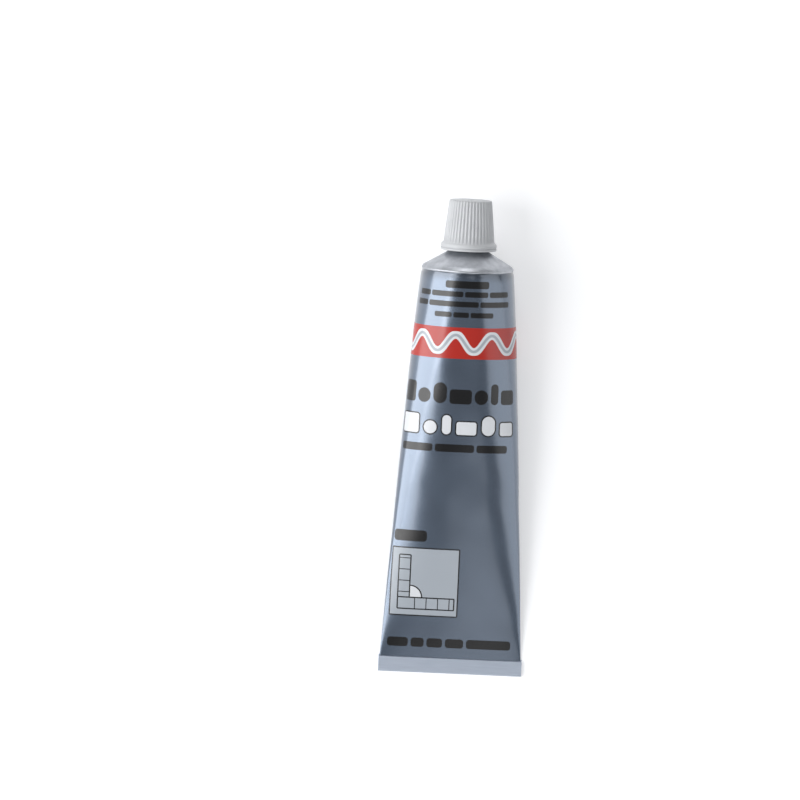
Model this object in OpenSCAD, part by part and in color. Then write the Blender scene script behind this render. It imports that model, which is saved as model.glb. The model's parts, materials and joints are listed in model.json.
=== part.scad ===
// Collapsible aluminium tube of sealant with a ribbed screw cap, lying on its back.
// X runs across the tube, +Y towards the cap and +Z up. The tube lies on the plane Z = 0,
// with the origin under the middle of its bounding box. Lengths are in millimetres.

/* [Body] */
// Diameter of the round end of the body, at the shoulder
tube_d = 35; // [30:0.5:40]
// Length of the body along its axis, from the shoulder's rim to the folded end
body_length = 151; // [120:1:180]
// How far the middle of the front swells above a straight taper
front_swell = 1.2; // [0:0.1:2.5]
// How far the sides spread past a straight taper, most of all near the rim
side_spread = 0.75; // [0:0.05:1.2]
// How much fuller than an ellipse the sections grow towards the folded end
section_fullness = 0.8; // [0:0.1:1.5]
// Thickness of the pressed-flat body where the folded strip begins
pressed_thickness = 0.6; // [0.3:0.1:0.9]
// Number of corners in each cross-section of the body
section_corners = 64; // [48:8:96]
// Number of steps along the body
body_steps = 26; // [16:2:40]

/* [Folded end] */
// Height of the strip that is folded over to close the tube
fold_height = 6; // [4:0.5:9]
// Thickness of the folded strip
fold_thickness = 1.4; // [1.2:0.1:2]
// How far the strip stands out past the body at each side
fold_overhang = 0.4; // [0.2:0.1:1]

/* [Shoulder and neck] */
// Rise of the conical shoulder, from its rim to the neck
shoulder_rise = 6.2; // [4:0.1:8]
// Radius of the rounded rim between body and shoulder
rim_radius = 0.7; // [0.4:0.1:1]
// How far the rim stands out from the body as a fine bead
rim_step = 0.15; // [0.05:0.05:0.3]
// Outside diameter of the threaded neck
neck_d = 13; // [11:0.5:15]
// Length of the neck, from the shoulder to its mouth
neck_length = 15.2; // [12:0.2:18]
// How far the plain ring at the neck's root stands out from the neck
root_step = 0.5; // [0.2:0.1:0.8]
// Height of the plain ring at the neck's root
root_height = 1.2; // [0.6:0.1:1.6]
// Width of the lip around the membrane that closes the mouth
mouth_lip = 1.4; // [0.8:0.1:2]
// Depth of the membrane below the mouth
membrane_depth = 0.5; // [0.2:0.1:0.8]

/* [Sealing disc] */
// Thickness of the soft disc in the cap's crown
disc_thickness = 1.2; // [0.8:0.1:2]
// Gap above and below the disc
seat_gap = 0.05; // [0.02:0.01:0.1]

/* [Cap] */
// Radial gap between the neck and the cap's bore
bore_gap = 0.2; // [0.1:0.05:0.4]
// Wall between the bore and the rib grooves, at the top
cap_wall = 1.15; // [0.9:0.05:1.8]
// Thickness of the cap's crown over the sealing disc
crown_thickness = 2.65; // [1.6:0.05:4]
// How much the ribbed skirt widens in diameter from top to collar
skirt_spread = 3.2; // [1:0.1:5]
// How far the cap's collar ends above the root of the neck
collar_gap = 0.15; // [0.1:0.05:0.6]
// How far the collar stands out from the ribs
collar_step = 0.85; // [0.5:0.05:1.5]
// Height of the collar below the ribs
collar_height = 2.6; // [2:0.1:3.5]
// Height of the collar's sloping top, on which the ribs end
collar_slope = 0.9; // [0.5:0.1:1.5]
// Height of the plain lip at the collar's open end
lip_height = 0.8; // [0.5:0.1:1.2]
// Width and depth of the fine groove above the lip
lip_groove = 0.3; // [0.2:0.05:0.4]
// Number of grip ribs
rib_count = 42; // [30:1:48]
// Depth of the grooves between the ribs
rib_depth = 0.35; // [0.2:0.05:0.5]
// Share of the rib pitch that the rib takes
rib_share = 0.56; // [0.4:0.02:0.7]
// Radius of the rounded edge around the cap's top
top_edge = 0.6; // [0.4:0.1:1]
// Radial gap between the sealing disc and the cap's bore
disc_gap = 0.15; // [0.1:0.05:0.3]

/* [Hidden] */
round_fn = 96;
edge_fn = 32;
overlap = 0.4;
tube_r = tube_d / 2;
body_r = tube_r - rim_step;
// The flattened end is half as wide as the round end is long around.
fold_width = PI * tube_r;
pressed_half = pressed_thickness / 2;
// The straight underside lies level just over the ground, so the axis is tilted.
tilt = atan((body_r - pressed_half) / body_length);
neck_r = neck_d / 2;
root_r = neck_r + root_step;
neck_top = shoulder_rise + neck_length;
disc_base = neck_top + seat_gap;
crown_base = disc_base + disc_thickness + seat_gap;
cap_top = crown_base + crown_thickness;
collar_base = shoulder_rise + collar_gap;
bore_r = neck_r + bore_gap;
disc_r = bore_r - disc_gap;
lead_in_r = root_r + bore_gap;
lead_in_top = shoulder_rise + root_height + collar_gap;
skirt_top_r = bore_r + cap_wall + rib_depth;
skirt_base_r = skirt_top_r + skirt_spread / 2;
collar_r = skirt_base_r + collar_step;
rib_base = collar_base + collar_height;
// Along the row's Y axis, the far edge of the tilted cap's top and the end of the fold
far_y = (cap_top - top_edge) * cos(tilt) + (skirt_top_r - top_edge) * sin(tilt) + top_edge;
fold_y = -body_length * cos(tilt) + pressed_half * sin(tilt);
near_y = fold_y - fold_height;
mid_y = (far_y + near_y) / 2;
rim_z = tube_r * cos(tilt);

// Half the body's width at the share t of the way from rim to fold
function half_width(t) =
    body_r + (fold_width / 2 - fold_overhang - body_r) * t + side_spread * sin(180 * pow(t, 0.6));

// How far the middle of the section lies above the axis, and half the section's thickness
function lift(t) = front_swell / 2 * sin(180 * t);
function half_thickness(t) = body_r * (1 - t) + pressed_half * t + lift(t);

// A sine or cosine, pressed out from a circle's towards a rectangle's as the fullness grows
function pressed(share, t) = sign(share) * pow(abs(share), 2 / (2 + section_fullness * t));

// One corner of the section at share t and angle a, in the tube's own frame
function body_point(t, a) = [
    half_width(t) * pressed(cos(a), t),
    -(body_length + overlap) * t - rim_radius / 2 * (1 - t),
    lift(t) + half_thickness(t) * pressed(sin(a), t)
];

// Puts the tube's own frame, with the axis along +Y from the rim's centre, on the ground
module lay_down() {
    translate([0, -mid_y, rim_z]) rotate([tilt, 0, 0]) children();
}

// Turns a profile of radius and height round the tube's axis
module round_axis() {
    rotate([-90, 0, 0]) rotate_extrude($fn = round_fn) children();
}

// The tapering body: its sections keep about the same length around
module body_shell() {
    n = section_corners;
    points = [for (i = [0:body_steps], k = [0:n - 1]) body_point(i / body_steps, 360 * k / n)];
    walls = [for (i = [0:body_steps - 1], k = [0:n - 1], upper = [0, 1])
        let (a = i * n + k, b = i * n + (k + 1) % n)
        upper == 0 ? [a, b + n, b] : [a, a + n, b + n]];
    ends = [[for (k = [0:n - 1]) k], [for (k = [n - 1:-1:0]) body_steps * n + k]];
    polyhedron(points, concat(walls, ends));
}

// The cone between body and neck, with its rounded rim
module shoulder_profile() {
    polygon([[0, -rim_radius], [tube_r, -rim_radius], [tube_r, 0], [root_r, shoulder_rise], [0, shoulder_rise]]);
}

module shoulder() {
    round_axis() difference() {
        shoulder_profile();
        translate([tube_r - rim_radius, 0]) difference() {
            translate([0, -rim_radius]) square(3 * rim_radius);
            translate([0, -rim_radius]) circle(rim_radius, $fn = edge_fn);
            translate([-rim_radius, -rim_radius]) square([rim_radius, rim_radius]);
        }
    }
}

module neck() {
    round_axis() polygon([
        [0, shoulder_rise - overlap], [root_r, shoulder_rise - overlap],
        [root_r, shoulder_rise + root_height], [neck_r, shoulder_rise + root_height],
        [neck_r, neck_top - overlap], [neck_r - overlap, neck_top], [neck_r - mouth_lip, neck_top],
        [neck_r - mouth_lip, neck_top - membrane_depth], [0, neck_top - membrane_depth]
    ]);
}

// The end of the body, folded over on itself and pressed flat on the ground
module folded_strip() {
    bend = fold_thickness / 2;
    translate([-fold_width / 2, 0, 0]) rotate([90, 0, 90]) linear_extrude(fold_width)
        translate([near_y - mid_y + bend, 0]) {
            translate([0, bend]) circle(bend, $fn = edge_fn);
            square([fold_height - bend, fold_thickness]);
        }
}

module tube() {
    color("slategray") {
        lay_down() body_shell();
        folded_strip();
    }
    color("silver") lay_down() {
        shoulder();
        neck();
    }
}

module sealing_disc() {
    color("whitesmoke") lay_down() round_axis()
        translate([0, disc_base]) square([disc_r, disc_thickness]);
}

// The cap without its ribs: crown, skirt down to the groove floors, and collar
module cap_profile() {
    floor_top_r = skirt_top_r - rib_depth;
    floor_base_r = skirt_base_r - rib_depth;
    slope_r = collar_r - collar_slope / 3;
    groove_base = collar_base + lip_height;
    polygon([
        [0, crown_base], [bore_r, crown_base], [bore_r, lead_in_top], [lead_in_r, lead_in_top],
        [lead_in_r, collar_base], [collar_r, collar_base], [collar_r, groove_base],
        [collar_r - lip_groove, groove_base], [collar_r - lip_groove, groove_base + lip_groove],
        [collar_r, groove_base + lip_groove], [slope_r, rib_base],
        [floor_base_r, rib_base + collar_slope], [floor_top_r, cap_top - top_edge],
        [floor_top_r - top_edge + rib_depth, cap_top], [0, cap_top]
    ]);
}

// One grip rib, its foot on the collar's slope and its head rounded over the top edge
module rib_profile() {
    inner_r = bore_r + cap_wall / 2;
    polygon([
        [inner_r, rib_base], [skirt_base_r, rib_base], [skirt_top_r, cap_top - top_edge],
        [skirt_top_r - top_edge / 4, cap_top - top_edge / 3], [skirt_top_r - top_edge, cap_top],
        [inner_r, cap_top]
    ]);
}

module screw_cap() {
    rib_angle = 360 / rib_count * rib_share;
    color("white") lay_down() {
        round_axis() cap_profile();
        rotate([-90, 0, 0]) for (i = [0:rib_count - 1]) rotate(360 * i / rib_count)
            rotate_extrude(angle = rib_angle, $fn = round_fn) rib_profile();
    }
}

tube();
sealing_disc();
screw_cap();
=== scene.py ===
# %% [markdown]
# This script dresses a collapsible tube of sealant that lies on a pale floor, seen from straight above.
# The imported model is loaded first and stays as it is: it says where each piece sits and how the cap turns.
# Two of its plain solids are then replaced by modelled pieces, a tube and a ribbed cap.

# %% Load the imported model
import json
import math
import bmesh
import bpy
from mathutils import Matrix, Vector


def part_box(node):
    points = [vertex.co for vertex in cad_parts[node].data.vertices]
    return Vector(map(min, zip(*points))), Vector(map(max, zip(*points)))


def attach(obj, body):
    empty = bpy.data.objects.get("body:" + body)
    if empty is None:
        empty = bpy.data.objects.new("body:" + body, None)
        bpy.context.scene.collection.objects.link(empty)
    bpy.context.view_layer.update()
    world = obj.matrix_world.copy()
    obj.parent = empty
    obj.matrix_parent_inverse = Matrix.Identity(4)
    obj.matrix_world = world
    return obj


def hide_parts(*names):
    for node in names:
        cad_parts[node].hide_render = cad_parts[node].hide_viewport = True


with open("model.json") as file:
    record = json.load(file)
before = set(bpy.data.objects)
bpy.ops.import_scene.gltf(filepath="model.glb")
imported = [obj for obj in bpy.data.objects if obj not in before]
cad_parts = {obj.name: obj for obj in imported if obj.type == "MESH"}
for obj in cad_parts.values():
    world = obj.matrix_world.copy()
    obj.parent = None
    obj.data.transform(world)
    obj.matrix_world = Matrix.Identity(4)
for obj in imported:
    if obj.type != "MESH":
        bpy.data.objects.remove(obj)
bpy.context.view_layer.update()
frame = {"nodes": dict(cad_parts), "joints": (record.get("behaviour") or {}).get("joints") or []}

# %% [markdown]
# The model gives the places. The flattened end is half as wide as the round end is long around, so its
# width also gives the tube's diameter. The axis of the cap's joint gives the tilt at which the tube lies,
# and the joint's own place is the middle of the neck's mouth.

# %% Sizes and places from the model
MM = 0.001
tube_low, tube_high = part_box("tube")
fold_width = (tube_high.x - tube_low.x) / MM
tube_r = fold_width / math.pi
cap_turn = next(joint for joint in frame["joints"] if joint["name"] == "cap_turn")
tube_axis = Vector(cap_turn["axis"])
neck_mouth = Vector(cap_turn["pos_m"])
tilt = math.atan2(tube_axis.z, tube_axis.y)
print(f"tube {2 * tube_r:.2f} mm across, tilted {math.degrees(tilt):.2f} degrees")

# %% Sizes along the tube, in millimetres from its rim
body_length = 151
fold_height = 6
fold_thickness = 1.4
shoulder_rise = 6.2
neck_top = 21.4
root_r = 7.0
root_top = 7.4
rim_radius = 0.7
rim_step = 0.15
body_r = tube_r - rim_step
rim_centre = neck_mouth - neck_top * MM * tube_axis
print("rim centre at", [round(value / MM, 2) for value in rim_centre], "mm")

# %% [markdown]
# Round pieces are easiest to model standing up, with their axis on Z and their printed front towards -Y. A
# piece starts as one filled circle. Its border is extruded ring by ring, and each new ring is moved and
# scaled. A list of rings is then the piece's outline, as a lathe or a loft would have it.

# %% Helpers for rings
def alone(piece):
    """Selects one object and nothing else."""
    bpy.ops.object.select_all(action="DESELECT")
    piece.select_set(True)
    bpy.context.view_layer.objects.active = piece


def start_ring(name, corners, radius, height):
    """Adds a filled circle at a height on the axis and leaves its border selected in edit mode."""
    bpy.ops.object.select_all(action="DESELECT")
    bpy.ops.mesh.primitive_circle_add(
        vertices=corners, radius=radius * MM, fill_type="NGON", location=(0, 0, height * MM))
    bpy.ops.object.transform_apply(location=True, rotation=False, scale=False)
    bpy.context.object.name = name
    bpy.ops.object.mode_set(mode="EDIT")
    bpy.ops.mesh.select_mode(type="EDGE")
    bpy.ops.mesh.select_all(action="SELECT")
    bpy.ops.mesh.region_to_loop()
    return bpy.context.object


def round_ring(radius, height):
    """A round section: half width, half depth, y of its middle, height."""
    return (radius, radius, 0, height)


def loft(sections):
    """Extrudes the selected ring from the first section through all the others."""
    for (w0, d0, y0, z0), (w1, d1, y1, z1) in zip(sections, sections[1:]):
        bpy.ops.mesh.extrude_region_move(
            TRANSFORM_OT_translate={"value": (0, (y1 - y0) * MM, (z1 - z0) * MM)})
        bpy.ops.transform.resize(value=(w1 / w0, d1 / d0, 1), center_override=(0, y1 * MM, z1 * MM))


def pick(test):
    """Selects in edit mode each corner whose place, in millimetres, passes a test, and counts them."""
    bpy.ops.mesh.select_mode(type="VERT")
    bpy.ops.mesh.select_all(action="DESELECT")
    mesh = bmesh.from_edit_mesh(bpy.context.object.data)
    picked = [corner for corner in mesh.verts if test(corner.co / MM)]
    for corner in picked:
        corner.select_set(True)
    mesh.select_flush_mode()
    bmesh.update_edit_mesh(bpy.context.object.data)
    return len(picked)


def close_up():
    """Fills the last ring, turns every face outwards and leaves edit mode."""
    bpy.ops.mesh.edge_face_add()
    bpy.ops.mesh.select_all(action="SELECT")
    bpy.ops.mesh.normals_make_consistent(inside=False)
    bpy.ops.object.mode_set(mode="OBJECT")


def lay_down(piece):
    """Lays a standing piece on the floor, its zero height at the tube's rim."""
    alone(piece)
    piece.rotation_euler.x = tilt - math.radians(90)
    piece.location = rim_centre
    bpy.ops.object.transform_apply(location=True, rotation=True, scale=False)


def span(first, last, steps):
    """Evenly spaced values from first to last."""
    return [first + (last - first) * step / steps for step in range(steps + 1)]


print("ring helpers ready")

# %% [markdown]
# The tube is one piece of aluminium. A press extrudes the neck, the cone of the shoulder and the thin wall
# in one blow, and the far end stays open until the tube is filled. So one skin makes it all here too: it
# starts at the thin membrane in the neck's mouth, turns over the lip and runs down the neck, the shoulder
# and the bead at the rim. The bead is small, but it draws the bright line that sets off the shoulder.

# %% Outline of the neck, shoulder and rim
neck_core_r = 5.9
mouth_r = 5.1
membrane_height = neck_top - 0.5
cone_angle = math.atan2(tube_r - root_r, shoulder_rise)


def rim_ring(angle):
    """A ring on the round bead, at an angle above the horizontal."""
    centre_r = tube_r - rim_radius
    return round_ring(centre_r + rim_radius * math.cos(angle), rim_radius * (math.sin(angle) - 1))


neck_rings = [round_ring(*ring) for ring in [
    (1.2, membrane_height - 0.1), (mouth_r - 0.2, membrane_height), (mouth_r, membrane_height + 0.15),
    (mouth_r, neck_top - 0.1), (mouth_r + 0.1, neck_top), (neck_core_r - 0.25, neck_top),
    (neck_core_r - 0.06, neck_top - 0.1), (neck_core_r, neck_top - 0.35), (neck_core_r, root_top + 0.5),
    (neck_core_r + 0.1, root_top + 0.15), (root_r - 0.12, root_top), (root_r, root_top - 0.15),
    (root_r, shoulder_rise + 0.25), (root_r + 0.15, shoulder_rise - 0.02),
]]
cone_rings = [
    round_ring(radius, (tube_r - radius) * shoulder_rise / (tube_r - root_r))
    for radius in span(root_r + 0.5, tube_r - 0.55, 8)
]
rim_rings = [rim_ring(angle) for angle in span(cone_angle, math.radians(-40), 8)]
print(len(neck_rings + cone_rings + rim_rings), "rings from the mouth to the rim")

# %% [markdown]
# Below the rim the wall keeps its length around while the press flattens it: each section is wider and
# thinner than the last. The sides spread a little faster near the rim, and the front swells over the
# filling.

# %% Outline of the body
front_swell = 1.2
side_spread = 0.75
fold_overhang = 0.4
pressed_half = 0.3
body_steps = 60


def half_width(share):
    """Half the body's width at a share of the way from the rim to the fold."""
    spread = side_spread * math.sin(math.pi * share ** 0.6)
    return body_r + (fold_width / 2 - fold_overhang - body_r) * share + spread


def lift(share):
    """How far the middle of the section lies in front of the axis."""
    return front_swell / 2 * math.sin(math.pi * share)


def half_depth(share):
    """Half the section's thickness."""
    return body_r * (1 - share) + pressed_half * share + lift(share)


body_rings = [
    (half_width(share), half_depth(share), -lift(share), -body_length * share)
    for share in span(0, 1, body_steps)[1:]
]
print(f"body from {2 * body_rings[0][0]:.1f} mm wide to {2 * body_rings[-1][0]:.1f} mm")

# %% Extrude the skin of the tube
skin_corners = 128
body_start = 1.7
tube_rings = neck_rings + cone_rings + rim_rings + [round_ring(body_r, -body_start)] + body_rings
tube = start_ring("aluminium_tube", skin_corners, tube_rings[0][0], tube_rings[0][3])
loft(tube_rings)
close_up()
print("skin of", len(tube.data.polygons), "faces")

# %% [markdown]
# Scaled rings are ellipses, and a pressed tube is fuller than that towards its flat end. No operator
# squares an ellipse, so this one step moves each corner by a formula: a power below one pushes a sine or a
# cosine outwards and leaves its ends where they are.

# %% Press the sections fuller
section_fullness = 0.8
round_until = 2


def pressed(value, share):
    """A sine or cosine, pressed out from a circle's towards a rectangle's."""
    return math.copysign(abs(value) ** (2 / (2 + section_fullness * share)), value)


def share_at(corner):
    """The share of the way from rim to fold at a corner of the standing body."""
    return min(max(-corner.co.z / MM / body_length, 0), 1)


for corner in tube.data.vertices:
    share = share_at(corner)
    if share * body_length > round_until:
        width = half_width(share) * MM
        depth = half_depth(share) * MM
        middle = -lift(share) * MM
        corner.co.x = width * pressed(corner.co.x / width, share)
        corner.co.y = middle + depth * pressed((corner.co.y - middle) / depth, share)
print("sections pressed fuller by up to", section_fullness)

# %% [markdown]
# The printing was done on the round tube, before it was filled, so the print follows the wall. One way is
# the length around from the middle of the front, the other the distance below the rim. A UV map of its own
# holds both in millimetres. Each ring's corners are put in order around and the steps between them added
# up.

# %% A UV map in millimetres of wall
print_start = 1.5
angle_slack = 1e-4


def length_around(ring, middle):
    """For each corner of a ring, the wall's length from the middle of the front, positive to the right."""
    turn = {corner.index: math.atan2(corner.co.x, middle - corner.co.y) for corner in ring}
    lengths = {}
    for side in (1, -1):
        half = [corner for corner in ring if side * turn[corner.index] > -angle_slack]
        half.sort(key=lambda corner: abs(turn[corner.index]))
        total = 0
        for before, corner in zip([half[0]] + half, half):
            total += (corner.co - before.co).length / MM
            lengths[corner.index, side] = side * total
    return lengths


def print_map(piece):
    """Writes the UV map for every ring of the body."""
    rings = {}
    for corner in piece.data.vertices:
        if corner.co.z < -print_start * MM:
            rings.setdefault(round(corner.co.z / MM, 2), []).append(corner)
    lengths = {}
    for height, ring in rings.items():
        middle = sum(corner.co.y for corner in ring) / len(ring)
        lengths.update(length_around(ring, middle))
    layer = piece.data.uv_layers.new(name="print_mm")
    for face in piece.data.polygons:
        side = 1 if face.center.x > 0 else -1
        for loop_index in face.loop_indices:
            corner = piece.data.vertices[piece.data.loops[loop_index].vertex_index]
            around = lengths.get((corner.index, side), 0)
            layer.data[loop_index].uv = (around, -corner.co.z / MM)
    return len(rings)


print("print map over", print_map(tube), "rings")

# %% [markdown]
# A filled tube is soft: fingers and packing leave shallow hollows that only show where a reflection bends.
# A Displace modifier with a cloudy texture gives them. A vertex group keeps them on the front and away
# from the rim, the fold and the side that lies on the floor, and smoothing the group fades them out.

# %% Soft hollows in the front
hollows_low, hollows_high = -142, -14
hollow_width = 22
hollow_depth = 0.45
alone(tube)
bpy.ops.object.mode_set(mode="EDIT")
soft_count = pick(lambda place: hollows_low < place.z < hollows_high and place.y < -0.5)
bpy.ops.object.vertex_group_add()
bpy.ops.object.vertex_group_assign()
bpy.ops.mesh.select_all(action="SELECT")
bpy.ops.object.vertex_group_smooth(factor=0.8, repeat=12)
bpy.ops.object.mode_set(mode="OBJECT")
hollows = bpy.data.textures.new("soft_hollows", "CLOUDS")
hollows.noise_scale = hollow_width * MM
hollows.noise_depth = 1
dent = tube.modifiers.new("soft_hollows", "DISPLACE")
dent.texture = hollows
dent.texture_coords = "LOCAL"
dent.vertex_group = tube.vertex_groups[0].name
dent.strength = hollow_depth * MM
bpy.ops.object.modifier_apply(modifier=dent.name)
print("hollows over", soft_count, "corners")

# %% [markdown]
# The open end is closed by folding it over on itself and pressing it flat. From the front that shows as a
# plain strip with a round upper edge and a dark crease above it. It could be a block, but then its ends
# would show no layers. So it is folded here as the press does it: a flat sheet that reaches under the
# body, a spin for the first bend, a second layer, another bend and a third. Solidify gives the sheet its
# thickness and Bevel takes the sharpness off its cut edges.

# %% Fold the closed end
layer_thickness = 0.43
layer_pitch = (fold_thickness - layer_thickness) / 2
bend_r = layer_pitch / 2
fold_low = tube_low.y / MM
crease = 0.25
sheet_near = fold_low + layer_thickness / 2 + bend_r
sheet_far = fold_low + fold_height - crease - layer_thickness / 2 - bend_r
bend_steps = 12
reach_under_body = 1.2
edge_bevel = 0.1


def bend_over(at_y, height, towards):
    """Spins the selected edge half a turn upwards and extrudes the next layer back over the last."""
    bend_centre = (0, at_y * MM, (height + bend_r) * MM)
    bpy.ops.mesh.spin(steps=bend_steps, angle=towards * math.pi, center=bend_centre, axis=(1, 0, 0))
    bpy.ops.mesh.extrude_region_move(
        TRANSFORM_OT_translate={"value": (0, towards * (sheet_far - sheet_near) * MM, 0)})


bpy.ops.object.select_all(action="DESELECT")
first_layer = layer_thickness / 2
bpy.ops.mesh.primitive_plane_add(size=1, location=(0, (sheet_near + sheet_far) / 2 * MM, first_layer * MM))
strip = bpy.context.object
strip.name = "folded_strip"
strip.scale = (fold_width * MM, (sheet_far - sheet_near) * MM, 1)
bpy.ops.object.transform_apply(location=True, rotation=False, scale=True)
bpy.ops.object.mode_set(mode="EDIT")
pick(lambda place: place.y > sheet_far - 0.01)
bpy.ops.transform.translate(value=(0, reach_under_body * MM, 0))
pick(lambda place: place.y < sheet_near + 0.01)
bend_over(sheet_near, first_layer, 1)
print("first bend done,", len(bmesh.from_edit_mesh(strip.data).verts), "corners")
bend_over(sheet_far, first_layer + layer_pitch, -1)
bpy.ops.object.mode_set(mode="OBJECT")
wall = strip.modifiers.new("wall", "SOLIDIFY")
wall.thickness = layer_thickness * MM
wall.offset = 0
bpy.ops.object.modifier_apply(modifier=wall.name)
edge = strip.modifiers.new("edge", "BEVEL")
edge.width = edge_bevel * MM
edge.segments = 2
edge.angle_limit = math.radians(60)
bpy.ops.object.modifier_apply(modifier=edge.name)
# Smoothed only up to 20 degrees, the bends are round and the flat faces stay flat.
bpy.ops.object.shade_smooth_by_angle(angle=math.radians(20))
low = min(corner.co.z for corner in strip.data.vertices) / MM
high = max(corner.co.z for corner in strip.data.vertices) / MM
print(f"strip from {low:.2f} to {high:.2f} mm above the floor, {len(strip.data.polygons)} faces")

# %% [markdown]
# The neck carries a thread for the cap, and the cap has one inside to match. A thread is a small wedge
# that is carried round a helix, as the Screw modifier does with a closed outline. The steps at both ends
# are drawn back towards the wall, so that the thread runs in and out as a cut one does.

# %% Threads
thread_pitch = 2.5
thread_turns = 4
thread_steps = 48
run_out_steps = 9
half_foot = 0.8
half_crest = 0.25
neck_crest_r = 6.4
cap_crest_r = 6.6


def thread(name, root, crest, start, turns):
    """A helical ridge from a root radius to a crest radius, starting at a height."""
    bpy.ops.object.select_all(action="DESELECT")
    middle = Vector(((root + crest) / 2, 0, start))
    bpy.ops.mesh.primitive_plane_add(size=MM, location=middle * MM, rotation=(math.pi / 2, 0, 0))
    ridge = bpy.context.object
    ridge.name = name
    bpy.ops.object.transform_apply(location=True, rotation=True, scale=False)
    bpy.ops.object.mode_set(mode="EDIT")
    bpy.ops.mesh.delete(type="ONLY_FACE")
    for radius, half in ((root, half_foot), (crest, half_crest)):
        side = math.copysign(1, radius - middle.x)
        pick(lambda place: (place.x - middle.x) * side > 0.1)
        bpy.ops.transform.resize(value=(1, 1, 2 * half), center_override=middle * MM)
        bpy.ops.transform.translate(value=((radius - middle.x - side / 2) * MM, 0, 0))
    bpy.ops.object.mode_set(mode="OBJECT")
    helix = ridge.modifiers.new("helix", "SCREW")
    helix.angle = math.radians(360) * turns
    helix.screw_offset = thread_pitch * turns * MM
    helix.steps = helix.render_steps = round(thread_steps * turns)
    bpy.ops.object.modifier_apply(modifier=helix.name)
    count = len(ridge.data.vertices)
    last = count // 4 - 1
    for corner in ridge.data.vertices:
        step = min(corner.index // 4, last - corner.index // 4)
        radius = math.hypot(corner.co.x, corner.co.y)
        drawn = root * MM + (radius - root * MM) * min(1, step / run_out_steps)
        corner.co.x *= drawn / radius
        corner.co.y *= drawn / radius
    bpy.ops.object.mode_set(mode="EDIT")
    bpy.ops.mesh.select_all(action="SELECT")
    bpy.ops.mesh.fill_holes(sides=4)
    bpy.ops.mesh.select_all(action="SELECT")
    bpy.ops.mesh.normals_make_consistent(inside=False)
    bpy.ops.object.mode_set(mode="OBJECT")
    return ridge


neck_thread = thread("neck_thread", neck_core_r - 0.15, neck_crest_r, 9.6, thread_turns)
print("neck thread of", len(neck_thread.data.polygons), "faces")

# %% [markdown]
# Now the pieces of the tube become one object. The skin and the thread still stand, so both are laid down
# first; the strip was made where it lies. Joining keeps one mesh with one list of materials, and each face
# then takes its finish by its height along the tube: bare metal down to the rim, enamel below it.

# %% Join the tube
for piece in (tube, neck_thread):
    lay_down(piece)
alone(tube)
neck_thread.select_set(True)
strip.select_set(True)
bpy.ops.object.join()


def along_axis(place):
    """Distance from the rim along the tube's axis, in millimetres, of a place in millimetres."""
    return (place - rim_centre / MM).dot(tube_axis)


print("tube from", round(min(along_axis(c.co / MM) for c in tube.data.vertices), 1), "mm")

# %% [markdown]
# The cap is moulded polypropylene: a tapered skirt with grip ribs that end on a sloping collar, a fine
# groove and a plain lip at its open end. Its outline is extruded from the middle of its top, over the
# edge, down the skirt, under the lip and up inside to the crown. Eight columns of corners make each rib
# with its groove.

# %% Outline of the cap
rib_count = 42
columns_per_rib = 8
rib_depth = 0.45
collar_base = shoulder_rise + 0.15
rib_base = collar_base + 2.6
crown_base = 22.7
cap_top = 25.35
skirt_top_r = 8.2
skirt_base_r = 9.8
collar_r = 10.65
bore_r = 7.0
seat_r = 6.7
lead_in_r = 7.2
foot_height = rib_base + 0.9
head_height = cap_top - 0.6


def skirt_radius(height):
    """The ribs' outer radius at a height."""
    return skirt_base_r + (skirt_top_r - skirt_base_r) * (height - rib_base) / (head_height - rib_base)


cap_rings = [round_ring(*ring) for ring in [
    (1.1, cap_top - 0.18), (1.25, cap_top - 0.15), (1.35, cap_top), (skirt_top_r - 0.75, cap_top),
    (skirt_top_r - 0.45, cap_top - 0.05), (skirt_top_r - 0.18, cap_top - 0.2),
    (skirt_top_r - 0.04, cap_top - 0.42),
    *((skirt_radius(height), height) for height in span(head_height, foot_height, 6)),
    (collar_r - 0.3, rib_base), (collar_r - 0.08, rib_base - 0.25), (collar_r, rib_base - 0.5),
    (collar_r, collar_base + 1.15), (collar_r - 0.07, collar_base + 1.08),
    (collar_r - 0.3, collar_base + 1.05), (collar_r - 0.3, collar_base + 0.85),
    (collar_r - 0.07, collar_base + 0.82), (collar_r, collar_base + 0.75),
    (collar_r, collar_base + 0.15), (collar_r - 0.15, collar_base), (lead_in_r + 0.15, collar_base),
    (lead_in_r, collar_base + 0.15), (lead_in_r, root_top + 0.2), (bore_r, root_top + 0.6),
    (bore_r, neck_top - 0.2), (seat_r, neck_top + 0.05), (seat_r, crown_base - 0.1),
    (seat_r - 0.1, crown_base), (1, crown_base),
]]
cap = start_ring("ribbed_cap", rib_count * columns_per_rib, cap_rings[0][0], cap_rings[0][3])
loft(cap_rings)
close_up()
print("cap skin of", len(cap.data.polygons), "faces")

# %% [markdown]
# The ribs are round and the grooves between them narrow. Instead of adding ribs, the columns of corners in
# the grooves are drawn in towards the axis, each by its share of the depth. At the foot the columns of the
# ribs themselves are pulled down onto the collar, which gives the scalloped line where they end.

# %% Draw in the grooves between the ribs
# By how many columns from the middle of the nearest groove: the share of the depth, and the drop in mm
groove_shares = {0: 1, 1: 0.85, 2: 0.22, 3: 0.03}
foot_drops = {4: 0.42, 3: 0.4, 2: 0.3, 1: 0.06}
rib_pitch = 2 * math.pi / rib_count


def column(place):
    """How many columns a corner lies from the middle of the nearest groove."""
    turn = math.atan2(place.y, place.x) / rib_pitch
    return round(abs(turn - round(turn)) * columns_per_rib)


def on_skirt(place):
    """Whether a corner is on the ribbed outside of the cap."""
    outside = math.hypot(place.x, place.y) > bore_r + 0.5
    return outside and foot_height - 0.05 < place.z < cap_top - 0.1


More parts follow.
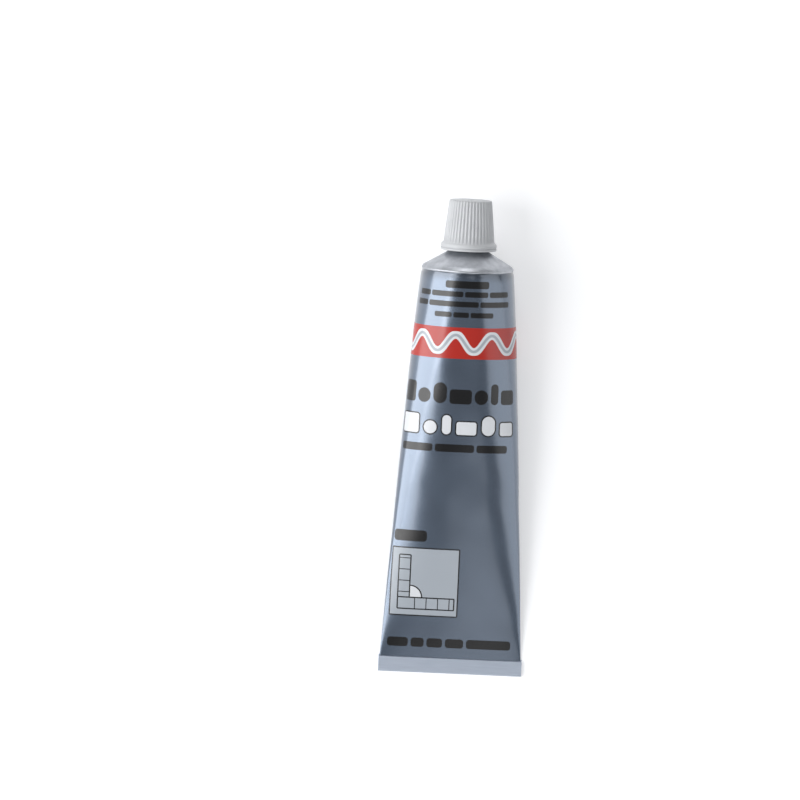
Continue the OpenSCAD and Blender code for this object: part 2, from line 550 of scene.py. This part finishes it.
alone(cap)
bpy.ops.object.mode_set(mode="EDIT")
for steps_away, share in groove_shares.items():
    factor = 1 - share * rib_depth / skirt_radius((rib_base + cap_top) / 2)
    pick(lambda place: on_skirt(place) and column(place) == steps_away)
    bpy.ops.transform.resize(value=(factor, factor, 1), center_override=(0, 0, 0))
for steps_away, drop in foot_drops.items():
    pick(lambda place: on_skirt(place) and place.z < foot_height + 0.05 and column(place) == steps_away)
    bpy.ops.transform.translate(value=(0, 0, -drop * MM))
bpy.ops.object.mode_set(mode="OBJECT")
print(rib_count, "ribs,", round(rib_pitch * skirt_base_r, 2), "mm apart at the collar")

# %% Lay the cap on the neck with its inner thread
cap_thread = thread("cap_thread", bore_r + 0.12, cap_crest_r, 9.4, thread_turns)
for piece in (cap, cap_thread):
    lay_down(piece)
alone(cap)
cap_thread.select_set(True)
bpy.ops.object.join()
print("cap of", len(cap.data.polygons), "faces")

# %% [markdown]
# Every finish starts from what the real surface is. Colours are written as sRGB hex, as a colour picker
# shows them, and turned to the linear values that the shaders work in. One helper adds a node, whose
# inputs are either values or the outputs of other nodes.

# %% Helpers for materials
def colour(hex_text):
    """An sRGB hex colour as linear red, green, blue and alpha."""
    parts = [int(hex_text[i:i + 2], 16) / 255 for i in (1, 3, 5)]
    return [((p + 0.055) / 1.055) ** 2.4 if p > 0.04045 else p / 12.92 for p in parts] + [1]


def add_node(tree, kind, inputs=(), **settings):
    """Adds a node with its settings, and sets each input to a value or links it to an output."""
    node = tree.nodes.new(kind)
    for name, value in settings.items():
        setattr(node, name, value)
    for name, value in dict(inputs).items():
        if isinstance(value, bpy.types.NodeSocket):
            tree.links.new(value, node.inputs[name])
        else:
            node.inputs[name].default_value = value
    return node


def new_material(name, **values):
    """A material with a Principled shader that has the given values, its tree and that shader."""
    material = bpy.data.materials.new(name)
    material.use_nodes = True
    shader = material.node_tree.nodes["Principled BSDF"]
    for socket, value in values.items():
        shader.inputs[socket.replace("_", " ")].default_value = value
    return material, material.node_tree, shader


def link_shader(tree, shader, outputs):
    """Links each output to the shader's socket of that name."""
    for socket, output in outputs.items():
        tree.links.new(output, shader.inputs[socket])


print("colour #808080 is", round(colour("#808080")[0], 3), "in linear light")

# %% [markdown]
# The body wears printed enamel: a gloss slate-blue coat baked on the bare metal. It lets some of the metal
# through, so it reflects more like tinted metal than like paint, and a soft box draws a broad streak on
# it. The inks on top are opaque. Each printed shape is a bar with round corners: the distance of a point
# from the bar's core is worked out with vector maths, and what is nearer than the corner's radius is ink.

# %% Helpers for print
inks = {name: colour(text) for name, text in {
    "slate": "#5a6778", "black": "#0a0b0d", "white": "#d6d9dd", "red": "#ad271c", "pale": "#a2a9b1",
}.items()}


def bar_distance(tree, place, centre, size, corner):
    """Distance in millimetres from the core of a bar, which its round corners surround."""
    core = (size[0] / 2 - corner, size[1] / 2 - corner, 0)
    moved = add_node(tree, "ShaderNodeVectorMath", {0: place, 1: (*centre, 0)}, operation="SUBTRACT")
    folded = add_node(tree, "ShaderNodeVectorMath", {0: moved.outputs[0]}, operation="ABSOLUTE")
    past = add_node(tree, "ShaderNodeVectorMath", {0: folded.outputs[0], 1: core}, operation="SUBTRACT")
    outside = add_node(
        tree, "ShaderNodeVectorMath", {0: past.outputs[0], 1: (0, 0, 0)}, operation="MAXIMUM")
    distance = add_node(tree, "ShaderNodeVectorMath", {0: outside.outputs[0]}, operation="LENGTH")
    return distance.outputs["Value"]


def print_shape(tree, layers, distance, limit, ink):
    """Lays ink wherever a distance is under a limit, over the colour and the cover so far."""
    under, cover = layers
    mask = add_node(tree, "ShaderNodeMath", {0: distance, 1: limit}, operation="LESS_THAN").outputs[0]
    mix = add_node(tree, "ShaderNodeMix", {0: mask, 6: under, 7: inks[ink]}, data_type="RGBA")
    covered = add_node(tree, "ShaderNodeMath", {0: cover, 1: mask}, operation="MAXIMUM")
    return mix.outputs[2], covered.outputs[0]


print(len(inks), "inks")

# %% [markdown]
# The print is a design of plain shapes: a red band with a white bead winding round the tube, two rows of
# large blocks and capsules, rows of small bars of many lengths, and a framed picture of a bead in the
# corner between two tiled boards. Across is measured along the wall from the middle of the front, and down
# from the rim.

# %% Layout of the print, in millimetres
band_middle = 28
band_height = 12
wave_length = 14
wave_swing = 3.1
bead_half = 1.45
bead_core_half = 0.5
outline = 0.5
# Rows of small bars: distance below the rim, height, left end across, lengths
bar_rows = [
    (5.6, 2.8, -8.5, [17]), (9.3, 2.1, -21, [6, 13, 9, 9]), (13.1, 2.1, -22, [6, 20, 13]),
    (17.2, 2, -12.5, [7, 6, 9]), (68.6, 3, -23.5, [13, 15, 12]), (103.4, 4.4, -24, [13]),
    (145.2, 3.6, -24.5, [8, 5, 6, 7, 17]),
]
# Rows of large marks on a line: the line, left end across, and each mark's width, height and corner radius
black_marks = (51.4, -24.5, [
    (6, 8, 1.2), (5.2, 5.6, 2.6), (5.2, 8, 2.6), (8.4, 5.6, 1.2),
    (5.2, 5.6, 2.6), (3, 8, 1.5), (6, 5.6, 1.2),
])
white_marks = (63.8, -24.5, [
    (8.6, 8.4, 1.4), (6, 6, 3), (4.4, 8.4, 2.2), (8.6, 6, 1.4), (6, 8.4, 3), (6.4, 6, 1.4),
])
mark_gap = 1.1
gap_share = 0.3
corner_share = 0.32
# The picture: its frame, the boards' corner and lengths as shares of the frame, the bead and the tiles
frame_centre = (-11.2, 121.4)
frame_size = (26.4, 27)
frame_corner = 0.6
inner_corner = (0.3, 0.72)
board = 5
wall_share = 0.8
floor_share = 0.84
bead_r = 4.7
tile_length = 4.4
tiles = 4
tile_line = 0.35


def row_bars(row):
    """The centre, size and corner of each bar in a row of small bars."""
    below, height, left, lengths = row
    for length in lengths:
        yield (left + length / 2, below), (length, height), corner_share * height
        left += length + gap_share * height


def row_marks(row):
    """The centre, size and corner of each mark in a row of large marks."""
    line, left, marks = row
    for width, height, corner in marks:
        yield (left + width / 2, line - height / 2), (width, height), corner
        left += width + mark_gap


bars = [bar for row in bar_rows for bar in row_bars(row)]
print(len(bars), "small bars,", len(black_marks[2] + white_marks[2]), "large marks")

# %% Gloss enamel with its print
enamel, tree, shader = new_material("printed_enamel_on_aluminium", Coat_Roughness=0.15, Coat_IOR=1.65)
place = add_node(tree, "ShaderNodeUVMap", uv_map="print_mm").outputs[0]
where = add_node(tree, "ShaderNodeSeparateXYZ", {0: place})
across, below = where.outputs[0], where.outputs[1]
# The coat is a little thicker here and thinner there, which shows as faint clouds about 12 mm wide.
cloud_width = 12
clouds = add_node(tree, "ShaderNodeTexNoise", {"Vector": place, "Scale": 1 / cloud_width, "Detail": 0.5})
tint = add_node(
    tree, "ShaderNodeMapRange", {0: clouds.outputs[0], 1: 0.3, 2: 0.7, 3: 0.97, 4: 1.03}, clamp=False)
# Painted shade: just below the bead at the rim the slate is darkened, most at the bead, where the turning
# wall mirrors shade.
painted_shade_deepest, painted_shade_end = 1.2, 5.5
painted_rim_shade = add_node(
    tree, "ShaderNodeMapRange", {0: below, 1: painted_shade_deepest, 2: painted_shade_end, 3: 0.5, 4: 1.0},
    interpolation_type="SMOOTHSTEP")
# The coat's faint clouds and the painted shade below the rim together scale the slate.
shade = add_node(tree, "ShaderNodeMath", {0: tint.outputs[0], 1: painted_rim_shade.outputs[0]}, operation="MULTIPLY")
slate = add_node(
    tree, "ShaderNodeVectorMath", {0: inks["slate"][:3], 1: shade.outputs[0]}, operation="MULTIPLY")
layers = (slate.outputs[0], 0)
# The band is longer than the way around the tube, so it closes at the back.
sharp = 0.01
band = bar_distance(tree, place, (0, band_middle), (8 * tube_r, band_height), sharp)
layers = print_shape(tree, layers, band, sharp, "red")

# The bead follows a sine. Its distance is divided by the length that the sine runs for one step across, which
# keeps the bead the same width on the steep stretches.
wave_rate = 2 * math.pi / wave_length
turn = add_node(tree, "ShaderNodeMath", {0: across, 1: wave_rate}, operation="MULTIPLY").outputs[0]
sine = add_node(tree, "ShaderNodeMath", {0: turn}, operation="SINE").outputs[0]
rise = add_node(tree, "ShaderNodeMath", {0: sine, 1: wave_swing, 2: band_middle}, operation="MULTIPLY_ADD")
off = add_node(tree, "ShaderNodeMath", {0: below, 1: rise.outputs[0]}, operation="SUBTRACT")
far = add_node(tree, "ShaderNodeMath", {0: off.outputs[0]}, operation="ABSOLUTE")
cosine = add_node(tree, "ShaderNodeMath", {0: turn}, operation="COSINE").outputs[0]
steepest = wave_rate * wave_swing
slope = add_node(tree, "ShaderNodeMath", {0: cosine, 1: steepest}, operation="MULTIPLY").outputs[0]
square = add_node(tree, "ShaderNodeMath", {0: slope, 1: slope, 2: 1}, operation="MULTIPLY_ADD")
stretch = add_node(tree, "ShaderNodeMath", {0: square.outputs[0]}, operation="SQRT")
bead = add_node(tree, "ShaderNodeMath", {0: far.outputs[0], 1: stretch.outputs[0]}, operation="DIVIDE")
for limit, ink in ((bead_half, "white"), (bead_core_half, "pale")):
    layers = print_shape(tree, layers, bead.outputs[0], limit, ink)

for centre, size, corner in [*bars, *row_marks(black_marks)]:
    layers = print_shape(tree, layers, bar_distance(tree, place, centre, size, corner), corner, "black")
for centre, size, corner in row_marks(white_marks):
    distance = bar_distance(tree, place, centre, size, corner)
    layers = print_shape(tree, layers, distance, corner, "black")
    layers = print_shape(tree, layers, distance, corner - outline, "white")

# The picture: its field, the round bead, then the two boards that cover three quarters of the bead, and the
# short lines that divide the boards into tiles.
corner_at = [frame_centre[i] + (inner_corner[i] - 0.5) * frame_size[i] for i in (0, 1)]
wall_size = (board, wall_share * frame_size[1])
floor_size = (floor_share * frame_size[0], board)
wall_middle = (corner_at[0] - board / 2, corner_at[1] + board - wall_size[1] / 2)
floor_middle = (corner_at[0] - board + floor_size[0] / 2, corner_at[1] + board / 2)
for centre, size, corner, ink in (
    (frame_centre, frame_size, frame_corner, "pale"),
    (corner_at, (2 * bead_r, 2 * bead_r), bead_r, "white"),
    (wall_middle, wall_size, frame_corner, "pale"),
    (floor_middle, floor_size, frame_corner, "pale"),
):
    distance = bar_distance(tree, place, centre, size, corner)
    layers = print_shape(tree, layers, distance, corner, "black")
    layers = print_shape(tree, layers, distance, corner - outline, ink)
for tile in range(tiles):
    along = (tile + 1) * tile_length - board / 2
    for centre, size in (
        ((wall_middle[0], corner_at[1] - along), (board, tile_line)),
        ((corner_at[0] + along, floor_middle[1]), (tile_line, board)),
    ):
        distance = bar_distance(tree, place, centre, size, tile_line / 2)
        layers = print_shape(tree, layers, distance, tile_line / 2, "black")

paint, cover = layers
# Inks hide the metal and wear less gloss than the tinted enamel, which lets two thirds of the metal show.
metal = add_node(tree, "ShaderNodeMapRange", {0: cover, 3: 0.68, 4: 0.0})
gloss = add_node(tree, "ShaderNodeMapRange", {0: cover, 3: 0.9, 4: 0.1})
dull = add_node(
    tree, "ShaderNodeMapRange", {0: clouds.outputs[0], 1: 0.3, 2: 0.7, 3: 0.22, 4: 0.25}, clamp=False)
# Baked enamel has an orange-peel skin. Its cells are about 2 mm across and a few thousandths of one deep.
peel_width = 2
peel = add_node(tree, "ShaderNodeTexNoise", {"Vector": place, "Scale": 1 / peel_width, "Detail": 0.0})
relief = add_node(tree, "ShaderNodeBump", {"Height": peel.outputs[0], "Distance": 0.006 * MM})
link_shader(tree, shader, {
    "Base Color": paint, "Metallic": metal.outputs[0], "Roughness": dull.outputs[0],
    "Coat Weight": gloss.outputs[0], "Normal": relief.outputs[0],
})
print("enamel with", len(tree.nodes), "nodes")

# %% [markdown]
# The shoulder and the neck are bare aluminium as the press left them: satin, with cloudy marks a few
# millimetres wide where the slug's lubricant burnt off. The marks are in the colour and the roughness, and
# a shallow bump breaks up the reflection. A metal keeps the default index of refraction.

# %% Bare pressed aluminium
bare, tree, shader = new_material("bare_pressed_aluminium", Metallic=1.0)
place = add_node(tree, "ShaderNodeTexCoord").outputs["Object"]
marks = add_node(tree, "ShaderNodeTexNoise", {"Vector": place, "Scale": 1 / (3 * MM), "Detail": 4.0})
grain = add_node(tree, "ShaderNodeTexNoise", {"Vector": place, "Scale": 1 / (0.5 * MM), "Detail": 2.0})
dark, light = colour("#989ba1"), colour("#cccfd4")
tone = add_node(tree, "ShaderNodeMix", {0: marks.outputs[0], 6: dark, 7: light}, data_type="RGBA")
dull = add_node(tree, "ShaderNodeMapRange", {0: marks.outputs[0], 1: 0.3, 2: 0.7, 3: 0.5, 4: 0.36})
both = add_node(
    tree, "ShaderNodeMath", {0: grain.outputs[0], 1: 0.3, 2: marks.outputs[0]}, operation="MULTIPLY_ADD")
relief = add_node(tree, "ShaderNodeBump", {"Height": both.outputs[0], "Distance": 0.06 * MM})
link_shader(tree, shader, {
    "Base Color": tone.outputs[2], "Roughness": dull.outputs[0], "Normal": relief.outputs[0]})
print("bare metal ready")

# %% [markdown]
# The strip at the fold was left out of the print and has only a pale lacquer over the metal. The jaws of
# the press drew fine lines along it.

# %% Pale lacquer on the folded strip
lacquer, tree, shader = new_material("pale_lacquer_on_aluminium", Metallic=0.25, Roughness=0.42)
place = add_node(tree, "ShaderNodeTexCoord").outputs["Object"]
long_way = add_node(tree, "ShaderNodeMapping", {"Vector": place, "Scale": (1 / 12, 1, 1)})
lines = add_node(
    tree, "ShaderNodeTexNoise", {"Vector": long_way.outputs[0], "Scale": 1 / (0.6 * MM), "Detail": 3.0})
dark, light = colour("#a5aebd"), colour("#b8c1ce")
tone = add_node(tree, "ShaderNodeMix", {0: lines.outputs[0], 6: dark, 7: light}, data_type="RGBA")
relief = add_node(tree, "ShaderNodeBump", {"Height": lines.outputs[0], "Distance": 0.03 * MM})
link_shader(tree, shader, {"Base Color": tone.outputs[2], "Normal": relief.outputs[0]})
print("lacquer ready")

# %% [markdown]
# The cap is white polypropylene, moulded against spark-eroded steel: a soft, waxy half gloss with a very
# fine grain. Light goes a little way into it, so the grooves between the ribs stay light.

# %% White moulded polypropylene
polypropylene, tree, shader = new_material(
    "white_moulded_polypropylene", Roughness=0.42, IOR=1.49, Subsurface_Weight=0.08,
    Subsurface_Radius=(1.0, 0.95, 0.9), Subsurface_Scale=0.6 * MM)
place = add_node(tree, "ShaderNodeTexCoord").outputs["Object"]
flow = add_node(tree, "ShaderNodeTexNoise", {"Vector": place, "Scale": 1 / (6 * MM), "Detail": 2.0})
dark, light = colour("#bdbfc2"), colour("#c8cacc")
tone = add_node(tree, "ShaderNodeMix", {0: flow.outputs[0], 6: dark, 7: light}, data_type="RGBA")
# The real grain is finer than a tenth of a millimetre; it is drawn at a quarter so that it shows.
grain = add_node(tree, "ShaderNodeTexNoise", {"Vector": place, "Scale": 1 / (0.25 * MM), "Detail": 2.0})
relief = add_node(tree, "ShaderNodeBump", {"Height": grain.outputs[0], "Distance": 0.01 * MM})
link_shader(tree, shader, {"Base Color": tone.outputs[2], "Normal": relief.outputs[0]})
print("polypropylene ready")

# %% [markdown]
# The disc in the cap's crown is polyethylene foam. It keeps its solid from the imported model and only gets
# its finish: matt white with small closed cells, drawn by a Voronoi texture.

# %% Polyethylene foam
foam, tree, shader = new_material("polyethylene_foam", Roughness=0.7)
place = add_node(tree, "ShaderNodeTexCoord").outputs["Object"]
cells = add_node(tree, "ShaderNodeTexVoronoi", {"Vector": place, "Scale": 1 / (0.4 * MM)})
light, dark = colour("#eceded"), colour("#d3d5d6")
tone = add_node(tree, "ShaderNodeMix", {0: cells.outputs[0], 6: light, 7: dark}, data_type="RGBA")
relief = add_node(tree, "ShaderNodeBump", {"Height": cells.outputs[0], "Distance": 0.08 * MM})
link_shader(tree, shader, {"Base Color": tone.outputs[2], "Normal": relief.outputs[0]})
print("foam ready")

# %% Give the faces their finishes
finishes = [bare, enamel, lacquer]
rim_edge = -1.2
fold_edge = fold_low + fold_height + 0.05


def finish_for(place):
    """The tube's finish at the middle of a face, in millimetres."""
    if place.y < fold_edge:
        return lacquer
    return enamel if along_axis(place) < rim_edge else bare


tube.data.materials.clear()
for material in finishes:
    tube.data.materials.append(material)
for face in tube.data.polygons:
    face.material_index = finishes.index(finish_for(face.center / MM))
cap.data.materials.append(polypropylene)
disc = frame["nodes"]["sealing_disc"]
disc.data.materials.clear()
disc.data.materials.append(foam)
smooth_angle = math.radians(55)
for piece in (tube, cap):
    alone(piece)
    bpy.ops.object.shade_smooth_by_angle(angle=smooth_angle)
for index, material in enumerate(finishes):
    print(material.name, "on", sum(face.material_index == index for face in tube.data.polygons), "faces")

# %% [markdown]
# Each piece now rides on the body that carries it. The tube and the cap stand for their plain solids,
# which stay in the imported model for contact, and the disc keeps its own.

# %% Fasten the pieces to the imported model
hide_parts("tube")
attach(tube, "tube")
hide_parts("screw_cap")
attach(cap, "cap")
print("pieces:", tube.name, cap.name, disc.name)

# %% [markdown]
# The tube lies on a pale floor. To the camera, and in reflections, the floor also glows a little, so it
# reads as white while it still takes the tube's shadow. The world behind it is white to the camera, and
# otherwise it is the dim room around the lamps, which the dark parts of the enamel mirror.

# %% Floor and world
floor_width = 6
floor_glow = 0.35
studio_glow = 0.26
bpy.ops.object.select_all(action="DESELECT")
bpy.ops.mesh.primitive_plane_add(size=floor_width)
floor = bpy.context.object
floor.name = "floor"
paper = bpy.data.materials.new("pale_floor")
paper.use_nodes = True
tree = paper.node_tree
tree.nodes.clear()
ray = add_node(tree, "ShaderNodeLightPath")
seen = ray.outputs["Is Camera Ray"]
for kind in ("Is Glossy Ray", "Is Transmission Ray"):
    seen = add_node(tree, "ShaderNodeMath", {0: seen, 1: ray.outputs[kind]}, operation="MAXIMUM").outputs[0]
glow = add_node(tree, "ShaderNodeMath", {0: seen, 1: floor_glow}, operation="MULTIPLY")
shine = add_node(tree, "ShaderNodeEmission", {"Strength": glow.outputs[0]})
matt = add_node(tree, "ShaderNodeBsdfDiffuse", {"Color": colour("#e6e7e9")})
floor_light = add_node(tree, "ShaderNodeAddShader", {0: matt.outputs[0], 1: shine.outputs[0]})
add_node(tree, "ShaderNodeOutputMaterial", {"Surface": floor_light.outputs[0]})
floor.data.materials.append(paper)

world = bpy.data.worlds.new("pale_studio")
bpy.context.scene.world = world
world.use_nodes = True
tree = world.node_tree
tree.nodes.clear()
ray = add_node(tree, "ShaderNodeLightPath")
strength = add_node(tree, "ShaderNodeMapRange", {0: ray.outputs["Is Camera Ray"], 3: studio_glow, 4: 1.0})
sky = add_node(tree, "ShaderNodeBackground", {"Color": colour("#f4f6fa"), "Strength": strength.outputs[0]})
add_node(tree, "ShaderNodeOutputWorld", {"Surface": sky.outputs[0]})
print("floor and world ready")

# %% [markdown]
# A curved gloss surface shows its lights as streaks. The broad streak down the left comes from a long soft
# box on that side, and a second box carries it on towards the fold, where the wall turns flat. On the
# right a dim pair lights the flank and the flat end, and the dark band between them mirrors the gap
# between the boxes. One box past the cap lights the cap's top and the bead, and one past the fold lifts
# the strip. Power is worked out from the brightness wanted.

# %% Soft boxes
def soft_box(name, across_angle, along_angle, distance, size, brightness):
    """An area light seen from the tube at angles from straight up: towards +X, and towards +Y."""
    across_way, along_way = (math.tan(math.radians(angle)) for angle in (across_angle, along_angle))
    direction = Vector((across_way, along_way, 1)).normalized()
    aim = direction.to_track_quat("Z", "Y").to_euler()
    bpy.ops.object.light_add(type="AREA", location=direction * distance, rotation=aim)
    lamp = bpy.context.object
    lamp.name = name
    lamp.data.shape = "RECTANGLE"
    lamp.data.size, lamp.data.size_y = size
    lamp.data.energy = brightness * math.pi * size[0] * size[1]
    return lamp


# Name, angles across and along, distance, size and brightness
lamps = [
    soft_box("left_box", -68, -10, 1.6, (0.95, 2.6), 4.1),
    soft_box("fold_left_box", -39, -36, 1.6, (0.8, 0.75), 2.9),
    soft_box("right_box", 66, -28, 1.4, (0.75, 1.8), 1.25),
    soft_box("fold_top_box", 12, -38, 1.5, (0.45, 0.6), 0.7),
    soft_box("cap_end_box", -10, 60, 1.0, (0.5, 0.9), 2.1),
    soft_box("fold_end_box", 5, -50, 1.2, (1.0, 0.5), 1.1),
]
print("soft boxes:", [lamp.name for lamp in lamps])

# %% [markdown]
# The photograph looks square onto the printed front, so the camera looks straight down, from far enough
# away that the sides stay parallel. It is turned a little, because the tube leans to the right in the
# picture.

# %% Camera
view_width = 304.5
camera_distance = 2000
lean = 2.525
view_centre = (-23.55, 13.07)
middle_height = 17
bpy.ops.object.camera_add(
    location=(view_centre[0] * MM, view_centre[1] * MM, (camera_distance + middle_height) * MM),
    rotation=(0, 0, math.radians(lean)))
camera = bpy.context.object
camera.name = "camera"
camera.data.lens = camera.data.sensor_width * camera_distance / view_width
bpy.context.scene.camera = camera
bpy.context.scene.view_settings.view_transform = "Standard"
print(f"lens {camera.data.lens:.0f} mm")
